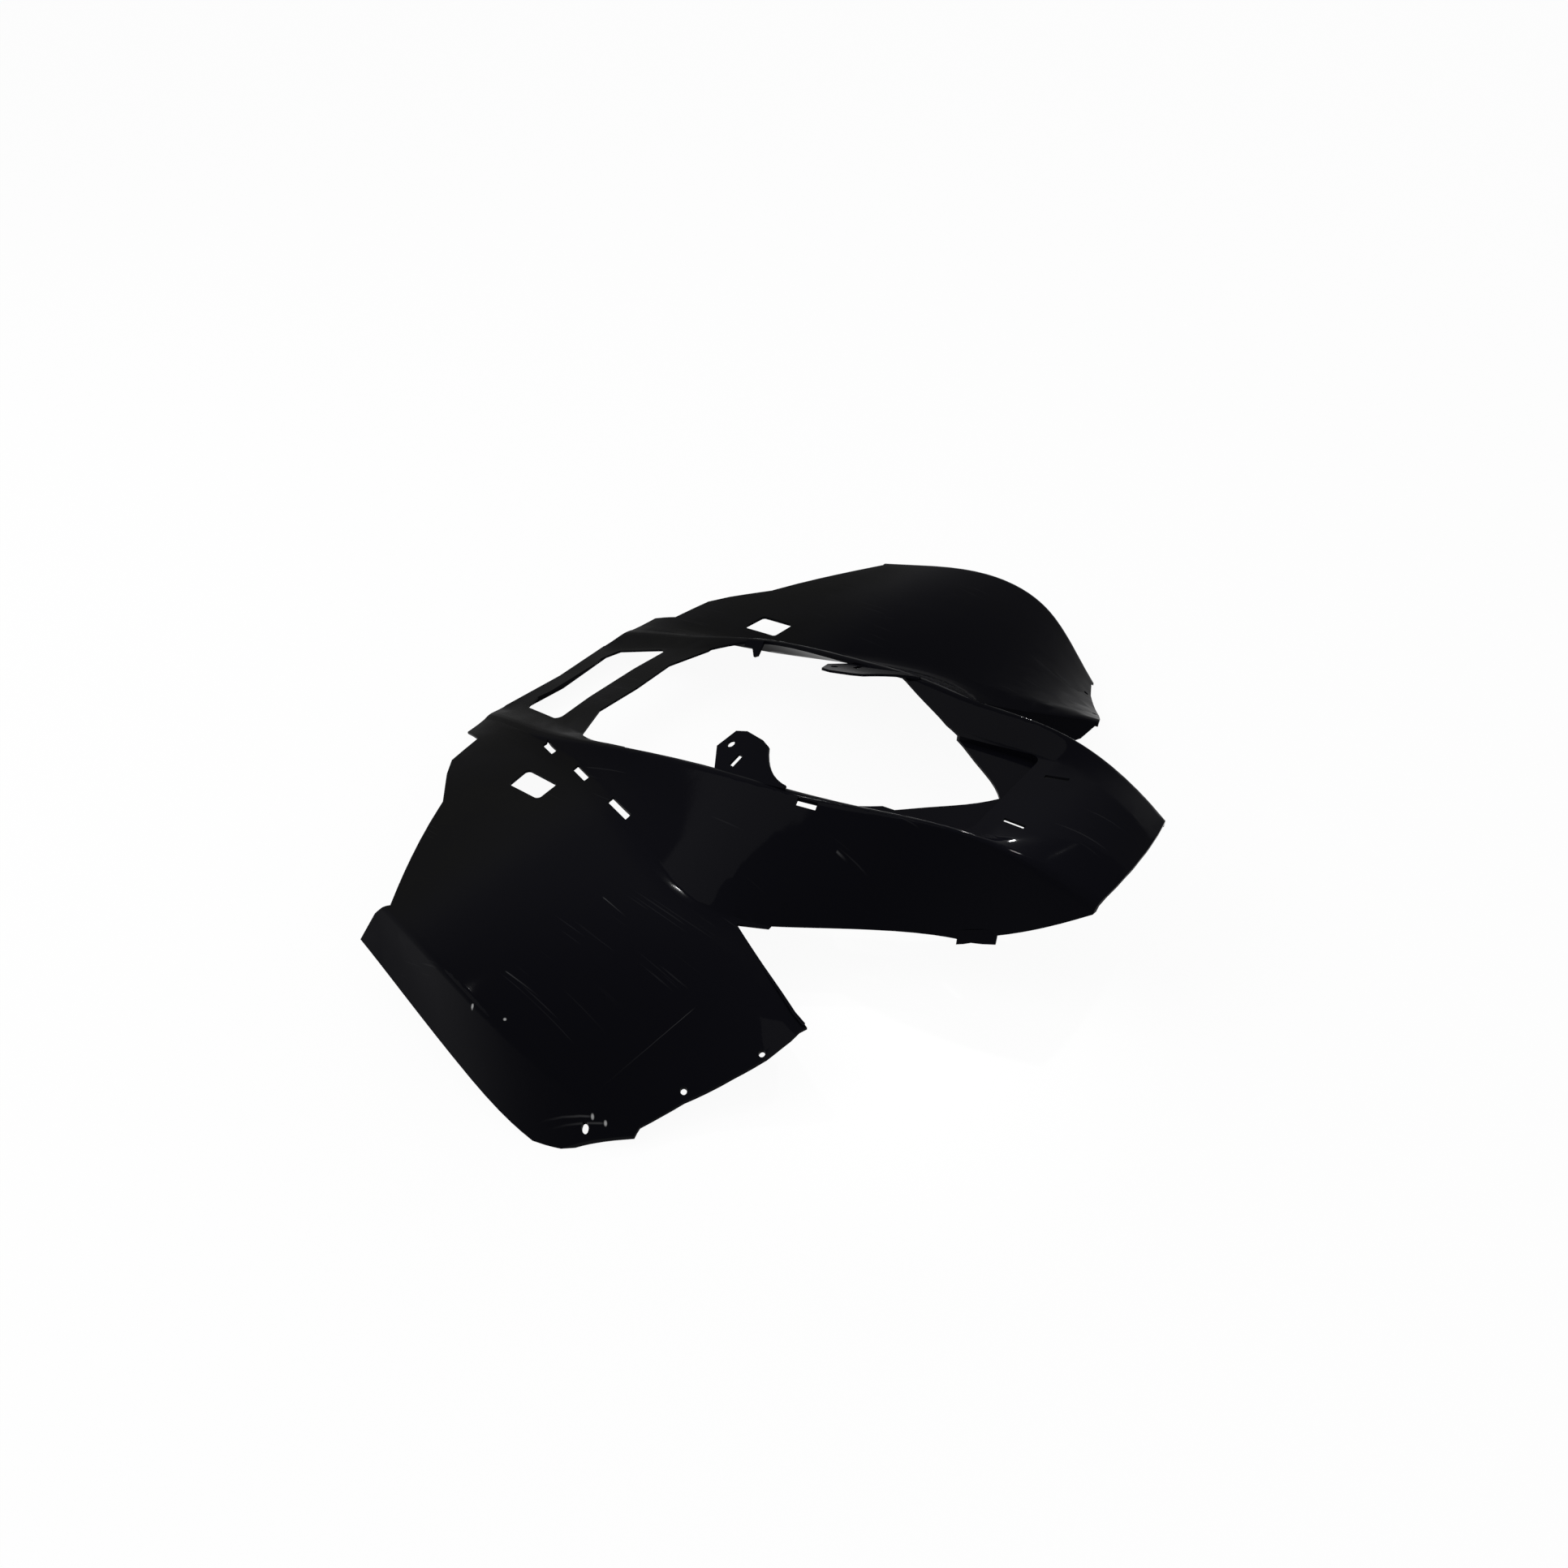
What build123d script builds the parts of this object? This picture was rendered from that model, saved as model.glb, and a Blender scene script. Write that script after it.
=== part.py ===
from build123d import *
from math import cos, hypot, pi, radians, sin
import os

# One-piece moulded front mudguard of a quad bike: a nose, two wheel wings and a rear bridge.
# Millimetres, +X towards the nose, +Y to its left, +Z up, standing on Z = 0.

# Overall sizes
length = 806
width = 981
wall = 3
nose_x = 403
rear_x = nose_x - length
side_y = width / 2
overrun = 12
tall = 220

# Heights of the main lines above the floor
bridge_z = 20
ridge_z = 184
crease_z = 75
crown_z = 100

# Places along the length: ridge of the nose, tip of the notch beside it, crown of the wings
ridge_x = nose_x - 88
notch_x = 110
crown_x = -23

# Half widths of the body at its shoulders
body_half = 130
nose_half = 89

# Bends of the skin: how far each one reaches from its corner
shoulder_bend = 8
nose_bend = 12
crease_bend = 8
lip_bend = 6
wing_rise = 9
wing_flat = 18

# Guide lines of the left half, each from the rear edge to the nose
well_points = [
    (rear_x - overrun, body_half - 40, bridge_z - 4),
    (rear_x + 38, body_half - 36, bridge_z + 9),
    (rear_x + 134, body_half - 24, bridge_z + 41),
    (rear_x + 229, body_half - 14, bridge_z + 65),
    (-62, body_half - 22, crease_z + 38),
    (75, body_half - 32, ridge_z - 50),
    (138, body_half - 46, ridge_z - 44),
    (ridge_x - 108, nose_half - 7, ridge_z - 30),
    (ridge_x - 50, nose_half - 13, ridge_z - 22),
    (ridge_x, nose_half - 36, ridge_z - 3),
    (nose_x + overrun, nose_half - 55, ridge_z - 36),
]
shoulder_points = [
    (rear_x - overrun, body_half - 10, bridge_z - 2),
    (rear_x + 38, body_half - 6, bridge_z + 19),
    (rear_x + 134, body_half + 4, bridge_z + 46),
    (rear_x + 229, body_half + 8, bridge_z + 81),
    (-62, body_half, crease_z + 56),
    (75, body_half - 7, ridge_z - 27),
    (196, body_half - 25, ridge_z - 9),
    (ridge_x, nose_half + 1, ridge_z),
    (nose_x - 41, nose_half - 7, ridge_z - 15),
    (nose_x + overrun, nose_half - 19, ridge_z - 33),
]
foot_points = [
    (rear_x - overrun, body_half + 6, bridge_z - 6),
    (rear_x + 38, body_half + 9, bridge_z + 17),
    (rear_x + 134, body_half + 17, crease_z - 18),
    (rear_x + 234, body_half + 31, crease_z - 7),
    (notch_x - 129, body_half + 89, crease_z),
    (notch_x - 44, body_half + 108, crease_z - 2),
    (notch_x, body_half + 104, crease_z - 8),
    (notch_x + 60, body_half + 62, crease_z - 17),
    (notch_x + 124, nose_half + 58, crease_z - 22),
    (notch_x + 175, nose_half + 23, crease_z - 22),
    (nose_x - 47, nose_half + 5, crease_z - 22),
    (nose_x + overrun, nose_half - 6, crease_z - 22),
]
root_points = [
    (rear_x - overrun, body_half + 18, bridge_z - 6),
    (rear_x + 38, body_half + 21, bridge_z + 18),
    (rear_x + 134, body_half + 29, crease_z - 18),
    (rear_x + 234, body_half + 41, crease_z - 7),
    (notch_x - 129, body_half + 101, crease_z + 1),
    (notch_x - 44, body_half + 120, crease_z + 1),
    (notch_x, body_half + 126, crease_z),
    (notch_x + 125, body_half + 156, crease_z - 3),
    (nose_x + overrun, body_half + 200, crease_z - 13),
]
fold_points = [
    (rear_x - overrun, side_y - 93, crown_z - 74),
    (rear_x + 134, side_y - 75, crown_z - 40),
    (crown_x - 155, side_y - 61, crown_z - 23),
    (crown_x - 77, side_y - 44, crown_z - 8),
    (crown_x, side_y - 32, crown_z - 1),
    (crown_x + 68, side_y - 22, crown_z - 6),
    (crown_x + 114, side_y - 32, crown_z - 32),
    (crown_x + 151, side_y - 42, crown_z - 55),
    (crown_x + 199, side_y - 60, crown_z - 95),
    (nose_x - 127, side_y - 85, crown_z - 128),
    (nose_x + overrun, side_y - 70, crown_z - 135),
]
lip_points = [
    (rear_x - overrun, side_y - 70, crown_z - 112),
    (rear_x + 134, side_y - 50, crown_z - 76),
    (crown_x - 168, side_y - 34, crown_z - 57),
    (crown_x - 90, side_y - 19, crown_z - 63),
    (crown_x - 6, side_y - 4, crown_z - 68),
    (crown_x + 56, side_y - 1, crown_z - 83),
    (crown_x + 126, side_y, crown_z - 103),
    (crown_x + 199, side_y - 23, crown_z - 133),
    (nose_x - 127, side_y - 48, crown_z - 165),
    (nose_x + overrun, side_y - 45, crown_z - 190),
]
station_count = 9
crown_station = crown_x + 100

# Rear window and central opening
window_rear = rear_x + 33
window_front = rear_x + 109
window_half = 98
opening_rear = rear_x + 156
opening_half = 117
opening_tip = ridge_x - 59

# Recess on top of the nose, behind its ridge
recess_depth = 6
recess_half = 72
recess_rear = ridge_x - 165
recess_front = ridge_x - 51
recess_radius = 14

# Bolt bracket and hook on each side of the opening
bracket_x = -25
bracket_root = 110
bracket_reach = 54
bracket_drop = 2
bracket_tilt = 20
bracket_hole = 9
hook_x = -180
hook_root = 30
hook_reach = 18
hook_tilt = -40

# Flanges that hang from the wing's inner edge and from the lower edge of the nose
wing_flange = 40
tab_drop = 8
tab_root = 37

# Holes and slots: places of their centres on the left half
diamond_radius = 5
slot_width = 7
crease_slots = [(-246, 148, 24), (-177, 163, 28), (-94, 185, 40)]
crease_turn = 16
rim_slot = (113, 125.5)
nose_slot = (293, 42)
edge_holes = [(130, 460), (177, 384), (216, 322)]
edge_hole = 6


def guide(points):
    with BuildLine() as line:
        Spline(*points)
    return line.edge()


def at_station(line, x):
    low, high = 0.0, 1.0
    for _ in range(40):
        middle = (low + high) / 2
        if (line @ middle).X < x:
            low = middle
        else:
            high = middle
    point = line @ low
    return point.Y, point.Z


well_line = guide(well_points)
shoulder_line = guide(shoulder_points)
foot_line = guide(foot_points)
root_line = guide(root_points)
fold_line = guide(fold_points)
lip_line = guide(lip_points)


def across(x):
    return Plane(origin=(x, 0, 0), x_dir=(0, 1, 0), z_dir=(1, 0, 0))


def toward(start, goal, distance):
    return start + (goal - start).normalized() * distance


def inner_corners(corners):
    steps = [(b - a).normalized() for a, b in zip(corners, corners[1:])]
    normals = [Vector(step.Y, -step.X) for step in steps]
    pairs = zip(normals[:1] + normals, normals + normals[-1:])
    shifts = [(n + m) * (wall / (1 + n.dot(m))) for n, m in pairs]
    return [corner + shift for corner, shift in zip(corners, shifts)]


def round_turn(start, corner, end):
    first = (start + corner) / 2
    last = (corner + end) / 2
    flat = (last - first) * 0.1
    middle = (first + last) / 2
    Bezier(start, first, middle - flat / 2)
    Line(middle - flat / 2, middle + flat / 2)
    Bezier(middle + flat / 2, last, end)


def flat_turn(start, corner, end):
    Polyline(start, (start + corner * 2 + end) / 4, end)


def face_line(corners, bend, turn):
    centre, well, shoulder, foot, root, crown, fold, lip = corners
    flank = (foot - shoulder).length
    bend_in = toward(shoulder, well, min(bend, flank / 2))
    bend_out = toward(shoulder, foot, min(bend, flank / 2))
    valley_in = toward(foot, shoulder, min(crease_bend, flank / 3))
    valley_out = toward(root, crown, crease_bend)
    wing_in = toward(root, crown, crease_bend + wing_flat)
    wing_out = toward(fold, crown, lip_bend + wing_flat)
    fold_in = toward(fold, crown, lip_bend)
    fold_out = toward(fold, lip, lip_bend)
    Polyline(centre, well, bend_in)
    turn(bend_in, shoulder, bend_out)
    Line(bend_out, valley_in)
    turn(valley_in, (foot + root) / 2, valley_out)
    Line(valley_out, wing_in)
    turn(wing_in, crown, wing_out)
    Line(wing_out, fold_in)
    turn(fold_in, fold, fold_out)
    Line(fold_out, lip)


def skin(x):
    guides = (well_line, shoulder_line, foot_line, root_line, fold_line, lip_line)
    well, shoulder, foot, root, fold, lip = [Vector(*at_station(line, x)) for line in guides]
    crown = (root + fold) / 2 + Vector(0, wing_rise)
    outer = [Vector(0, well.Y), well, shoulder, foot, root, crown, fold, lip]
    inner = inner_corners(outer)
    to_nose = min(1, max(0, (x - ridge_x + 40) / (nose_x - ridge_x)))
    bend = shoulder_bend + (nose_bend - shoulder_bend) * to_nose
    with BuildSketch(across(x)) as section:
        with BuildLine():
            face_line(outer, bend, round_turn)
            face_line(inner, bend, flat_turn)
            Line(outer[0], inner[0])
            Line(outer[-1], inner[-1])
        make_face()
    return section.sketch


def hollow(x):
    lines = [at_station(line, x) for line in (well_line, shoulder_line, foot_line, root_line, fold_line)]
    middle = [(y, z - wall / 2) for y, z in lines]
    with BuildSketch(across(x)) as section:
        with BuildLine():
            Polyline(
                (0, -tall),
                (0, middle[0][1]),
                *middle,
                (middle[-1][0], -tall),
                close=True,
            )
        make_face()
    return section.sketch


def on_line(low, high, share):
    return low + (high - low) * share


def rim_height(x, y):
    well_y, well_z = at_station(well_line, x)
    shoulder_y, shoulder_z = at_station(shoulder_line, x)
    return on_line(well_z, shoulder_z, (y - well_y) / (shoulder_y - well_y))


def rim_plane(start_x, root, y, tilt):
    start = Vector(start_x, y, rim_height(start_x, y))
    end = Vector(start_x + root, y, rim_height(start_x + root, y))
    outward = Vector(0, cos(radians(tilt)), -sin(radians(tilt)))
    return Plane(origin=start, x_dir=end - start, z_dir=(end - start).cross(outward))


def panel_point(x, z):
    shoulder_y, shoulder_z = at_station(shoulder_line, x)
    foot_y, foot_z = at_station(foot_line, x)
    share = (z - shoulder_z) / (foot_z - shoulder_z)
    return Vector(x, on_line(shoulder_y, foot_y, share), z)


reach = length / 2 + overrun
middle_x = (rear_x + nose_x) / 2
stations = [middle_x - reach * cos(pi * i / (station_count - 1)) for i in range(station_count)]
stations = sorted([*stations, crown_station])

# Space under the middle of the skin, which trims what hangs from it
with BuildPart() as below:
    loft([hollow(x) for x in stations])

# Upright flange along the rear edge of the bridge
with BuildPart() as flange:
    with BuildSketch():
        with BuildLine():
            edge = Polyline(
                (rear_x + 7, -overrun),
                (rear_x + 7, 0),
                (rear_x, 88),
                (rear_x + 11, 128),
            )
            offset(edge, amount=wall, side=Side.RIGHT)
        make_face()
    extrude(amount=tall)
    add(below.part, mode=Mode.INTERSECT)

# Flange that stiffens the free inner edge of the wing
inner_edge = [
    (notch_x + 110, body_half + 149),
    (notch_x + 90, body_half + 140),
    (notch_x, body_half + 101),
]
with BuildPart() as inner_flange:
    with BuildSketch():
        with BuildLine():
            edge = Polyline((notch_x + 127, body_half + 154), *inner_edge)
            offset(edge, amount=wall, side=Side.RIGHT)
        make_face()
    extrude(amount=tall)
    add(below.part, mode=Mode.INTERSECT)
    with BuildSketch(Plane.XZ):
        with BuildLine():
            Polyline(
                (notch_x + 4, tall),
                (notch_x + 4, crease_z - 8),
                (notch_x + 28, crease_z + 12 - wing_flange),
                (notch_x + 74, crease_z - wing_flange),
                (notch_x + 102, crease_z - wing_flange),
                (notch_x + 111, crease_z - 33),
                (notch_x + 124, crease_z - 10),
                (notch_x + 124, tall),
                close=True,
            )
        make_face()
    extrude(amount=-side_y, mode=Mode.INTERSECT)

# Bolt bracket, a tilted plate that reaches in over the opening
with BuildPart() as bracket:
    bracket_plane = rim_plane(bracket_x, bracket_root, opening_half + 7, bracket_tilt)
    with BuildSketch(bracket_plane.offset(-bracket_drop)):
        with BuildLine():
            plate = Polyline(
                (19, 5),
                (-1, 27 - bracket_reach),
                (9, 3 - bracket_reach),
                (23, -bracket_reach),
                (49, 6 - bracket_reach),
                (61, 12 - bracket_reach),
            )
            gusset = Spline(plate @ 1, (75, -23), (bracket_root - 16, -9), (bracket_root, -4))
            Polyline(gusset @ 1, (bracket_root, 0), plate @ 0)
        make_face()
        with Locations((14, 20 - bracket_reach)):
            Circle(bracket_hole / 2, mode=Mode.SUBTRACT)
        with Locations((34, -16)):
            Rectangle(15, slot_width, rotation=100, mode=Mode.SUBTRACT)
    extrude(amount=-wall)

# Hook on the rim behind the bracket
with BuildPart() as hook:
    with BuildSketch(rim_plane(hook_x, hook_root, opening_half + 13, hook_tilt)):
        with BuildLine():
            Polyline(
                (0, 4),
                (0, -6),
                (hook_root / 2, 11 - hook_reach),
                (hook_root - 8, -hook_reach),
                (hook_root - 2, 2 - hook_reach),
                (hook_root, 4),
                close=True,
            )
        make_face()
    extrude(amount=-wall)

# Tab under the lower edge of the nose
tab_start = panel_point(notch_x + 175, crease_z - 8)
tab_along = panel_point(notch_x + 175 + tab_root, crease_z - 8) - tab_start
tab_up = panel_point(notch_x + 175, crease_z) - tab_start
with BuildPart() as tab:
    with BuildSketch(Plane(origin=tab_start, x_dir=tab_along, z_dir=tab_along.cross(tab_up))):
        with BuildLine():
            Polyline(
                (0, 10),
                (0, -tab_drop),
                (7, 3 - tab_drop),
                (14, 7 - tab_drop),
                (24, 9 - tab_drop),
                (tab_root, 5),
                (tab_root, 24),
                close=True,
            )
        make_face()
    extrude(amount=wall)

# Tray of the nose recess, before it is hollowed
recess_rear_z = at_station(well_line, recess_rear)[1] - recess_depth
recess_front_z = at_station(well_line, recess_front)[1] - recess_depth
recess_run = recess_front - recess_rear
recess_rise = recess_front_z - recess_rear_z
recess_length = hypot(recess_run, recess_rise)
recess_floor = Plane(
    origin=(recess_rear, 0, recess_rear_z),
    x_dir=(recess_run, 0, recess_rise),
    z_dir=(-recess_rise, 0, recess_run),
)
with BuildPart() as tray:
    with BuildSketch(recess_floor.offset(-wall)):
        with BuildLine():
            FilletPolyline(
                (0, 0),
                (0, recess_half + wall),
                (recess_length + wall, recess_half + wall),
                (recess_length + wall, 0),
                radius=[0, recess_radius + wall],
            )
            Line((recess_length + wall, 0), (0, 0))
        make_face()
    extrude(amount=3 * recess_depth)
    add(below.part, mode=Mode.INTERSECT)

with BuildPart() as shell:
    loft([skin(x) for x in stations])

    # Outline seen from above: rear bridge, swept wing, notch and nose
    with BuildSketch():
        with BuildLine():
            rear = Polyline(
                (rear_x + 7, -overrun),
                (rear_x + 7, 0),
                (rear_x, 88),
                (rear_x + 25, 167),
                (rear_x + 57, 175),
                (rear_x + 73, 226),
                (rear_x + 94, 249),
                (rear_x + 138, 288),
            )
            swept = Spline(rear @ 1, (crown_x - 200, side_y - 137), (crown_x - 143, side_y - 63))
            wing = Polyline(
                swept @ 1,
                (crown_x - 159, side_y - 53),
                (crown_x - 186, side_y + overrun),
                (crown_x + 115, side_y + overrun),
                (crown_x + 129, side_y),
                (crown_x + 188, side_y - 54),
                (crown_x + 188, side_y - 62),
                (crown_x + 205, side_y - 101),
                (crown_x + 245, side_y - 168),
                (crown_x + 255, side_y - 190),
                (notch_x + 127, body_half + 154),
                *inner_edge,
                (notch_x + 60, body_half + 66),
                (notch_x + 124, nose_half + 62),
                (notch_x + 175, nose_half + 27),
                (nose_x - 47, nose_half + 12),
                (nose_x - 13, nose_half - 6),
                (nose_x - 7, nose_half - 13),
            )
            front = ThreePointArc(wing @ 1, (nose_x - 1, 35), (nose_x, 0))
            Polyline(front @ 1, (nose_x, -overrun), rear @ 0)
        make_face()
    extrude(amount=tall, mode=Mode.INTERSECT)

    # Lower edge of the nose, seen from the side
    with BuildSketch(Plane.XZ):
        with BuildLine():
            under = Polyline(
                (nose_x + overrun, crease_z + 85),
                (nose_x + overrun, -overrun),
                (notch_x - 2, -overrun),
                (notch_x - 2, crease_z - 6),
                (notch_x + 175, crease_z - 9),
            )
            Spline(
                under @ 1,
                (notch_x + 206, crease_z + 6),
                (notch_x + 252, crease_z + 40),
                under @ 0,
            )
        make_face()
    extrude(amount=-(body_half + 101), mode=Mode.SUBTRACT)

    add(flange.part)
    add(inner_flange.part)
    add(tray.part)
    add(tab.part)
    with BuildSketch(recess_floor):
        with BuildLine():
            FilletPolyline(
                (-overrun, -overrun),
                (-overrun, recess_half),
                (recess_length, recess_half),
                (recess_length, -overrun),
                radius=[0, recess_radius],
            )
            Line((recess_length, -overrun), (-overrun, -overrun))
        make_face()
    extrude(amount=3 * recess_depth, mode=Mode.SUBTRACT)

    # Central opening, rear window, holes and slots
    with BuildSketch():
        with BuildLine():
            back = Polyline(
                (opening_tip, -overrun),
                (opening_rear, -overrun),
                (opening_rear - 4, 62),
                (opening_rear + 21, opening_half - 2),
            )
            rim = Spline(
                back @ 1,
                (opening_rear + 62, opening_half + 13),
                (-89, opening_half + 14),
                (5, opening_half + 6),
                (60, opening_half + 4),
            )
            tip = Spline(rim @ 1, (103, 103), (165, 73), (206, 43), (231, 25), (opening_tip, 0))
            Line(tip @ 1, back @ 0)
        make_face()
        with BuildLine():
            FilletPolyline(
                (window_rear, -overrun),
                (window_rear, 40),
                (window_rear - 5, 56),
                (window_rear + 5, window_half - 16),
                (window_front + 6, window_half),
                (window_front, 40),
                (window_front, -overrun),
                radius=[4, 4, 6, 8, 60],
            )
            Line((window_front, -overrun), (window_rear, -overrun))
        make_face()
        with BuildLine():
            FilletPolyline(
                (-228, 225),
                (-235, 191),
                (-184, 193),
                (-178, 226),
                radius=diamond_radius,
                close=True,
            )
        make_face()
        for x, y, long in crease_slots:
            with Locations((x, y)):
                Rectangle(long, slot_width, rotation=crease_turn)
        with Locations(rim_slot):
            Rectangle(22, slot_width - 1, rotation=-10)
        with Locations(nose_slot):
            Rectangle(24, slot_width - 2, rotation=8)
        with Locations(*edge_holes):
            Circle(edge_hole / 2)
    extrude(amount=tall, mode=Mode.SUBTRACT)

    add(bracket.part)
    add(hook.part)
    mirror(about=Plane.XZ)

os.makedirs("parts", exist_ok=True)
shell.part.label = "mudguard_shell"
export_step(shell.part, "parts/mudguard_shell.step")
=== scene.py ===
from math import radians

import bpy
from mathutils import Matrix, Vector

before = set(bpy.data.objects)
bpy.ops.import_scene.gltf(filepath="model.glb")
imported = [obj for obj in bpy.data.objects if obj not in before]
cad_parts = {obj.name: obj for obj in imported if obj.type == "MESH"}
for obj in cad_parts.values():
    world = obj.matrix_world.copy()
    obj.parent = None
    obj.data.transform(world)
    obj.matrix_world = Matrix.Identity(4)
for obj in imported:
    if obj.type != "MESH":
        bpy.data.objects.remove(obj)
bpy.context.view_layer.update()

# Camera of the photograph, in metres in the part's frame
camera_place = Vector((0.6145, -0.7927, 0.8848))
camera_right = Vector((0.7832, 0.6217, 0.0))
camera_forward = Vector((-0.4752, 0.5987, -0.6448))
camera_lens = 26.087
camera_sensor = 36.0
camera_near = 0.01
camera_far = 200

# Edges of the moulding: radius of the broken edge and the angle that counts as an edge
edge_radius = 0.0006
edge_steps = 2
edge_angle = 34
weld_gap = 0.00002

# Colours, as linear values
black = (0.0024, 0.0024, 0.0037)
# Painted sheen on the upward rear faces
painted_sheen_charcoal = (0.0061, 0.0061, 0.0061)
scratch_grey = (0.03, 0.03, 0.032)
# Scratches and scuffs, and painted highlights along the lip folds
wear_and_highlight_grey = (0.032, 0.032, 0.034)
# Painted glints
painted_glint_grey = (0.3, 0.3, 0.3)
floor_white = (0.9, 0.9, 0.9)

# Dull film with painted sheen: where along the part it starts and is full, and how level its faces are;
# the lighter colour on these upward rear faces is painted sheen
film_and_sheen_start = -0.08
film_and_sheen_full = -0.19
film_and_sheen_level = (0.75, 0.95)
film_and_sheen_thinnest = 0.65
cloud_scale = 14.0
cloud_range = (0.3, 0.7)

# Fine handling scratches: turn in degrees, scale and fineness of each set
scratch_sets = [(35, 6.0, 60.0), (-52, 7.0, 70.0)]
scratch_range = (0.69, 0.74)
scratch_patch_scale = 9.0
scratch_patch_range = (0.56, 0.66)
scratch_strength = 0.22

# Gloss: roughness and specular level of the bare plastic, and what changes them
bare_roughness = (0.06, 0.1)
film_roughness = 0.2
scratch_roughness = 0.2
bare_specular = 0.011
film_specular = 0.003

# Grain of the moulding
grain_scale = 220.0
grain_strength = 0.04
grain_depth = 0.0004

# Single scratches and scuffs, each from its bright end, where a painted glint stands, to its faint end,
# with half its width, in metres from above
right_wing_marks = [
    ((-0.007, -0.295), (0.038, -0.300), 0.0008),
    ((0.000, -0.4223), (0.051, -0.4196), 0.0008),
    ((0.1423, -0.326), (0.1231, -0.4586), 0.0003),
]
panel_marks = [
    ((0.161, -0.1407), (0.177, -0.1412), 0.0012),
]
mark_core = 0.2
mark_onset = 0.08
mark_fading = 1.6

# Painted highlights along the fold creases at the front of the lip, the same on both wings, brightest
# at their start as a painted glint
lip_fold_highlights = [
    ((0.1325, 0.4522), (0.0875, 0.4859), 0.0007),
    ((0.1428, 0.4475), (0.0972, 0.4839), 0.0007),
]

# Painted glints: small bright spots on the right wing, beside the lip fold and at the bright ends of
# the lip fold lines
right_wing_painted_glints = [
    (0.0062, -0.4651),
    (0.038, -0.4561),
    (0.1325, -0.4522),
    (0.1428, -0.4475),
]
painted_glint_radius = 0.0018
painted_glint_core = 0.3

# Marks, painted fold highlights and painted glints lie on faces that look upward at least this much
upper_side = (0.02, 0.12)

# Floor and surround: the floor's share of plain white, and the surround's light on the part
floor_half = 40.0
floor_drop = 0.0005
floor_share = 0.94
world_light = 0.7
white = (1, 1, 1, 1)

# Lamps: name, place, aim, size, power and beam in degrees
nose_corner = (0.318, -0.085, 0.181)
wing_crease = (0.02, -0.24, 0.08)
part_middle = (0, 0, 0.05)
lamps = [
    ("nose_lamp", (0.318, 0.713, 1.91), nose_corner, 0.06, 0.09, 12),
    ("side_lamp", (-0.355, 1.358, 0.341), nose_corner, 0.08, 0.016, 7),
    ("crease_lamp", (-0.98, 0.17, 1.73), wing_crease, 0.06, 0.11, 14),
    ("soft_key", (-1.6, -1.4, 2.4), part_middle, 2.0, 30, 180),
]


def node(tree, kind, inputs=None, **settings):
    made = tree.nodes.new(kind)
    for name, value in settings.items():
        setattr(made, name, value)
    for name, value in (inputs or {}).items():
        if isinstance(value, bpy.types.NodeSocket):
            tree.links.new(value, made.inputs[name])
        else:
            made.inputs[name].default_value = value
    return made


def new_material(name):
    material = bpy.data.materials.new(name)
    material.use_nodes = True
    material.node_tree.nodes.clear()
    return material, material.node_tree


def ramp(tree, value, low, high, out_low=0.0, out_high=1.0):
    made = node(
        tree,
        "ShaderNodeMapRange",
        {"Value": value, "From Min": low, "From Max": high, "To Min": out_low, "To Max": out_high},
        interpolation_type="SMOOTHSTEP",
    )
    return made.outputs["Result"]


def maths(tree, operation, first, second):
    made = node(tree, "ShaderNodeMath", {0: first, 1: second}, operation=operation)
    return made.outputs["Value"]


def product(tree, first, second):
    return maths(tree, "MULTIPLY", first, second)


def largest(tree, values):
    total = values[0]
    for value in values[1:]:
        total = maths(tree, "MAXIMUM", total, value)
    return total


def dot(tree, place, direction):
    made = node(tree, "ShaderNodeVectorMath", {0: place, 1: direction}, operation="DOT_PRODUCT")
    return made.outputs["Value"]


def noise(tree, place, scale, detail, distortion=0.0):
    made = node(
        tree,
        "ShaderNodeTexNoise",
        {"Vector": place, "Scale": scale, "Detail": detail, "Distortion": distortion},
    )
    return made.outputs["Fac"]


def mixed(tree, factor, first, second):
    made = tree.nodes.new("ShaderNodeMix")
    made.data_type = "RGBA"
    tree.links.new(factor, made.inputs[0])
    for socket, value in ((made.inputs[6], first), (made.inputs[7], second)):
        if isinstance(value, bpy.types.NodeSocket):
            tree.links.new(value, socket)
        else:
            socket.default_value = (*value, 1.0)
    return made.outputs[2]


def scratches(tree, place, turn, scale, fine):
    mapping = node(
        tree,
        "ShaderNodeMapping",
        {"Vector": place, "Rotation": (0, 0, radians(turn)), "Scale": (scale, scale * fine, scale)},
    )
    lines = noise(tree, mapping.outputs["Vector"], 1.0, 1.0, 0.2)
    patches = noise(tree, place, scratch_patch_scale, 1.0)
    return product(tree, ramp(tree, lines, *scratch_range), ramp(tree, patches, *scratch_patch_range))


# A line mark, brightest near its start, where a painted glint stands, and fading toward its end
def mark(tree, place, start, end, half_width):
    run = Vector(end) - Vector(start)
    length = run.length
    run.normalize()
    side = Vector((-run.y, run.x))
    along = maths(tree, "SUBTRACT", dot(tree, place, (*run, 0)), run.dot(Vector(start)))
    away = maths(tree, "SUBTRACT", dot(tree, place, (*side, 0)), side.dot(Vector(start)))
    away = maths(tree, "ABSOLUTE", away, 0.0)
    thin = ramp(tree, away, half_width, half_width * mark_core)
    begun = ramp(tree, along, 0.0, length * mark_onset)
    fading = maths(tree, "POWER", ramp(tree, along, length, 0.0), mark_fading)
    return product(tree, thin, product(tree, begun, fading))


# A round painted glint, brightest in its middle
def painted_glint(tree, flat, middle):
    away = node(tree, "ShaderNodeVectorMath", {0: flat, 1: (*middle, 0)}, operation="DISTANCE")
    return ramp(tree, away.outputs["Value"], painted_glint_radius, painted_glint_radius * painted_glint_core)


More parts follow.
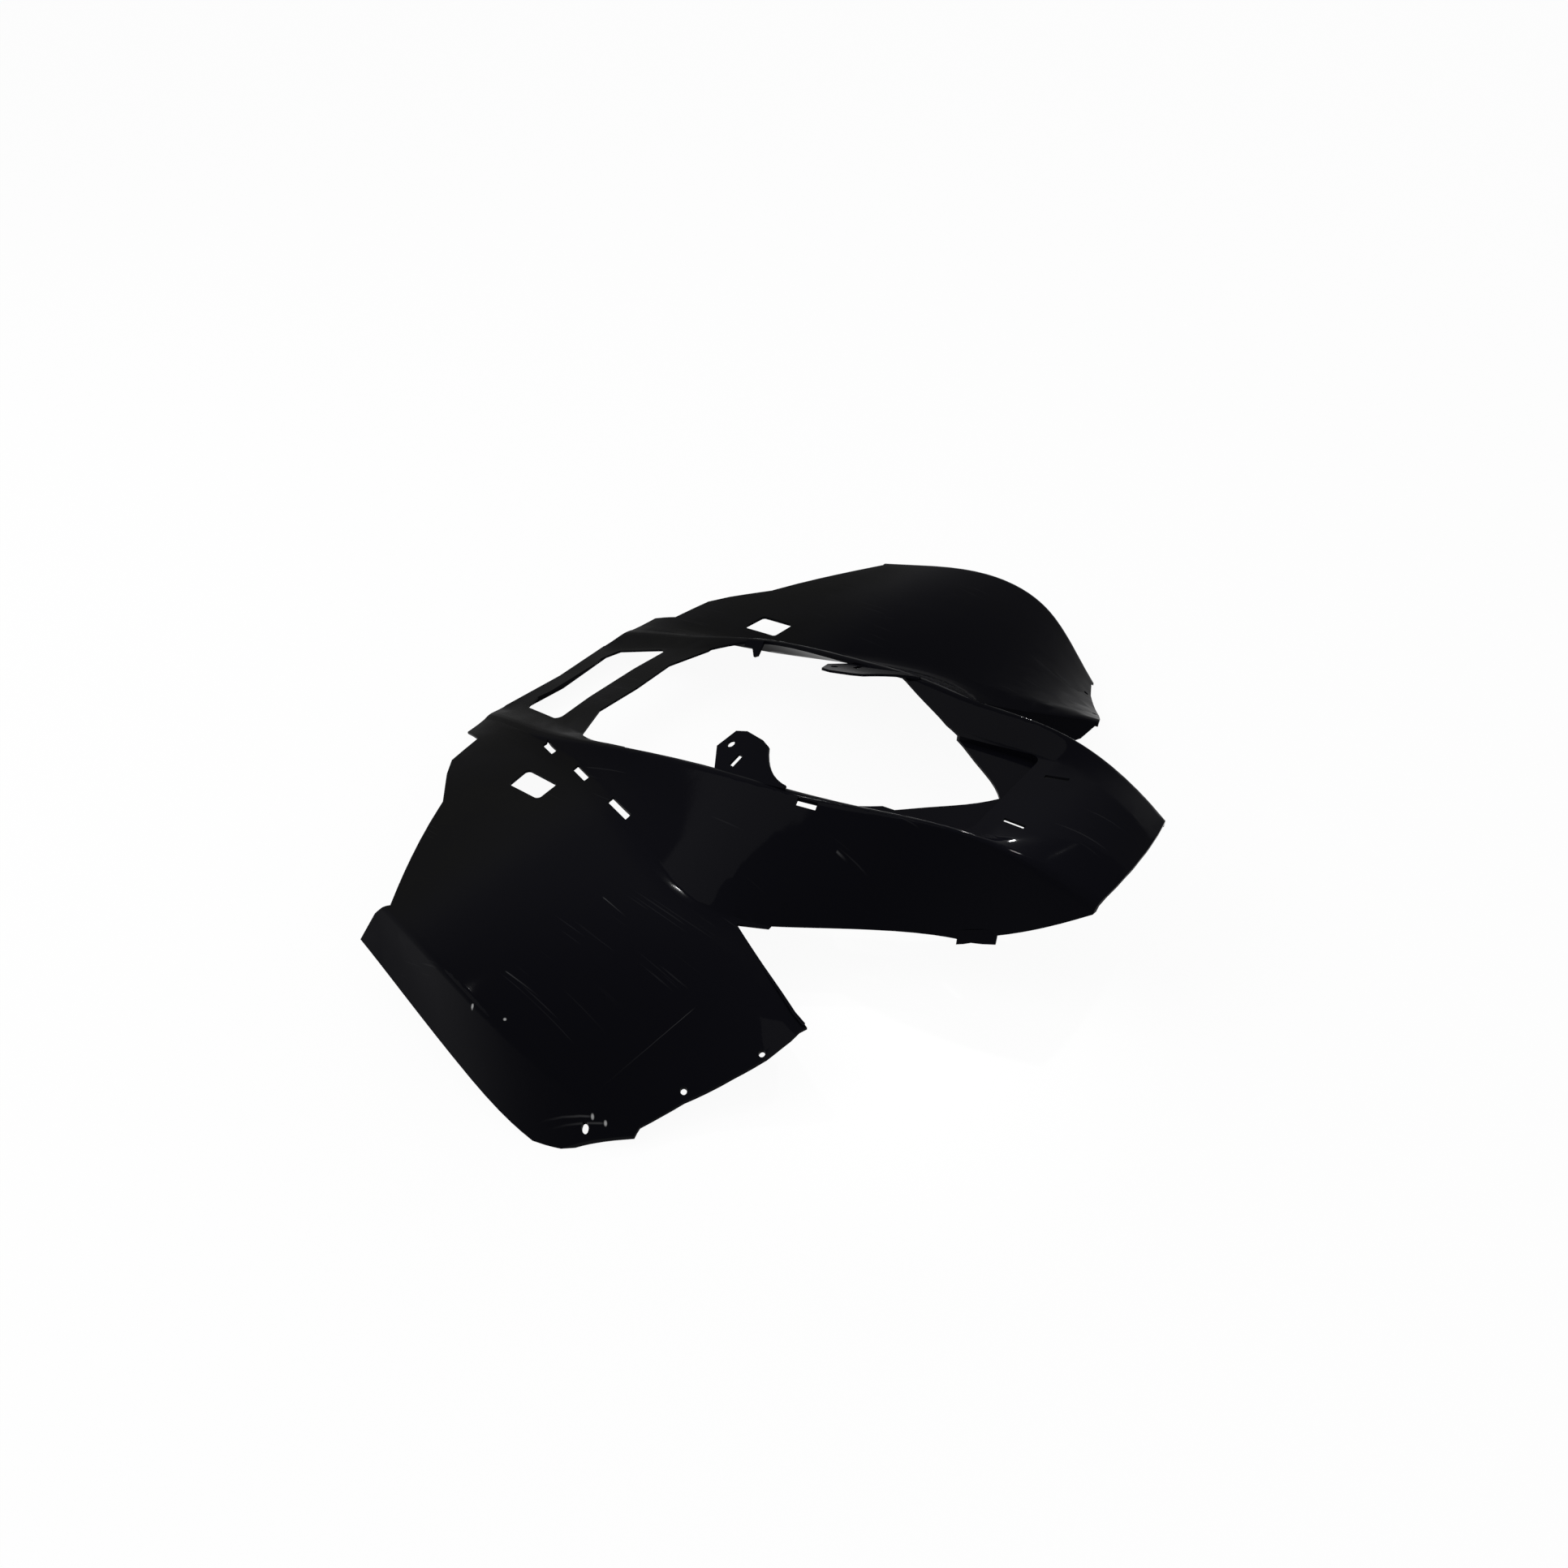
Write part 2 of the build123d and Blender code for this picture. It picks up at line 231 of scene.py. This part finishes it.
def shell_material():
    material, tree = new_material("gloss_black_moulding")
    place = node(tree, "ShaderNodeTexCoord").outputs["Object"]
    apart = node(tree, "ShaderNodeSeparateXYZ", {"Vector": place}).outputs
    facing = node(tree, "ShaderNodeNewGeometry").outputs["Normal"]
    upward = node(tree, "ShaderNodeSeparateXYZ", {"Vector": facing}).outputs["Z"]

    # Dull film on the rear of the upward faces; its lighter colour there is painted sheen
    cloud = noise(tree, place, cloud_scale, 4.0)
    film_and_sheen = product(tree, ramp(tree, apart["X"], film_and_sheen_start, film_and_sheen_full), ramp(tree, upward, *film_and_sheen_level))
    film_and_sheen = product(tree, film_and_sheen, ramp(tree, cloud, *cloud_range, film_and_sheen_thinnest, 1.0))

    # Fine handling scratches
    fine = largest(tree, [scratches(tree, place, *one) for one in scratch_sets])

    # Single worn marks, painted fold highlights and painted glints on the upper side
    outward = maths(tree, "ABSOLUTE", apart["Y"], 0.0)
    folded = node(tree, "ShaderNodeCombineXYZ", {"X": apart["X"], "Y": outward}).outputs["Vector"]
    flat = node(tree, "ShaderNodeCombineXYZ", {"X": apart["X"], "Y": apart["Y"]}).outputs["Vector"]
    upper = ramp(tree, upward, *upper_side)
    wear_and_highlights = [mark(tree, place, *one) for one in right_wing_marks + panel_marks]
    wear_and_highlights += [mark(tree, folded, *one) for one in lip_fold_highlights]
    wear_and_highlights = product(tree, largest(tree, wear_and_highlights), upper)
    painted_glints = product(tree, largest(tree, [painted_glint(tree, flat, one) for one in right_wing_painted_glints]), upper)

    # Painted sheen: the upward rear faces are lightened toward charcoal
    colour = mixed(tree, film_and_sheen, black, painted_sheen_charcoal)
    colour = mixed(tree, product(tree, fine, scratch_strength), colour, scratch_grey)
    # Scratches and scuffs with a painted glint at their bright ends, and painted highlights along the
    # lip folds
    colour = mixed(tree, wear_and_highlights, colour, wear_and_highlight_grey)
    # Painted glints: small bright spots put into the colour
    colour = mixed(tree, painted_glints, colour, painted_glint_grey)

    rough = ramp(tree, cloud, *cloud_range, *bare_roughness)
    rough = maths(tree, "ADD", rough, product(tree, film_and_sheen, film_roughness))
    rough = maths(tree, "ADD", rough, product(tree, fine, scratch_roughness))
    grain = noise(tree, place, grain_scale, 3.0)
    relief = node(
        tree,
        "ShaderNodeBump",
        {"Height": grain, "Strength": grain_strength, "Distance": grain_depth},
    )
    shader = node(
        tree,
        "ShaderNodeBsdfPrincipled",
        {
            "Base Color": colour,
            "Roughness": rough,
            "Specular IOR Level": ramp(tree, film_and_sheen, 0.0, 1.0, bare_specular, film_specular),
            "Normal": relief.outputs["Normal"],
        },
    )
    node(tree, "ShaderNodeOutputMaterial", {"Surface": shader.outputs["BSDF"]})
    return material


def finish_shell(shell):
    shell.material_slots[0].material = shell_material()
    weld = shell.modifiers.new("weld", "WELD")
    weld.merge_threshold = weld_gap
    edges = shell.modifiers.new("edges", "BEVEL")
    edges.width = edge_radius
    edges.segments = edge_steps
    edges.limit_method = "ANGLE"
    edges.angle_limit = radians(edge_angle)
    edges.harden_normals = True
    normals = shell.modifiers.new("normals", "WEIGHTED_NORMAL")
    normals.keep_sharp = True


def background_rays(tree):
    rays = node(tree, "ShaderNodeLightPath").outputs
    return largest(tree, [rays["Is Camera Ray"], rays["Is Glossy Ray"], rays["Is Transmission Ray"]])


def floor_material():
    material, tree = new_material("pale_floor")
    share = product(tree, background_rays(tree), floor_share)
    matt = node(tree, "ShaderNodeBsdfDiffuse", {"Color": (*floor_white, 1)})
    plain = node(tree, "ShaderNodeEmission", {"Color": white, "Strength": 1.0})
    both = node(
        tree,
        "ShaderNodeMixShader",
        {0: share, 1: matt.outputs["BSDF"], 2: plain.outputs["Emission"]},
    )
    node(tree, "ShaderNodeOutputMaterial", {"Surface": both.outputs["Shader"]})
    return material


def add_floor():
    mesh = bpy.data.meshes.new("floor")
    half = floor_half
    corners = [(-half, -half, 0), (half, -half, 0), (half, half, 0), (-half, half, 0)]
    mesh.from_pydata(corners, [], [(0, 1, 2, 3)])
    floor = bpy.data.objects.new("floor", mesh)
    floor.location.z = -floor_drop
    floor.data.materials.append(floor_material())
    bpy.context.scene.collection.objects.link(floor)


def add_world():
    world = bpy.data.worlds.new("studio")
    bpy.context.scene.world = world
    world.use_nodes = True
    tree = world.node_tree
    tree.nodes.clear()
    strength = ramp(tree, background_rays(tree), 0.0, 1.0, world_light, 1.0)
    sky = node(tree, "ShaderNodeBackground", {"Color": white, "Strength": strength})
    node(tree, "ShaderNodeOutputWorld", {"Surface": sky.outputs["Background"]})


def add_lamp(name, place, aim, size, power, beam):
    data = bpy.data.lights.new(name, "AREA")
    data.shape = "DISK"
    data.size = size
    data.energy = power
    data.spread = radians(beam)
    lamp = bpy.data.objects.new(name, data)
    lamp.location = place
    lamp.rotation_euler = (Vector(aim) - Vector(place)).to_track_quat("-Z", "Y").to_euler()
    bpy.context.scene.collection.objects.link(lamp)


def add_camera():
    data = bpy.data.cameras.new("camera")
    data.sensor_width = camera_sensor
    data.lens = camera_lens
    data.clip_start = camera_near
    data.clip_end = camera_far
    camera = bpy.data.objects.new("camera", data)
    up = camera_right.cross(camera_forward)
    turn = Matrix((camera_right, up, -camera_forward)).transposed()
    camera.matrix_world = Matrix.Translation(camera_place) @ turn.to_4x4()
    bpy.context.scene.collection.objects.link(camera)
    bpy.context.scene.camera = camera


bpy.context.scene.view_settings.view_transform = "Standard"
finish_shell(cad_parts["mudguard_shell"])
add_floor()
add_world()
for lamp in lamps:
    add_lamp(*lamp)
add_camera()
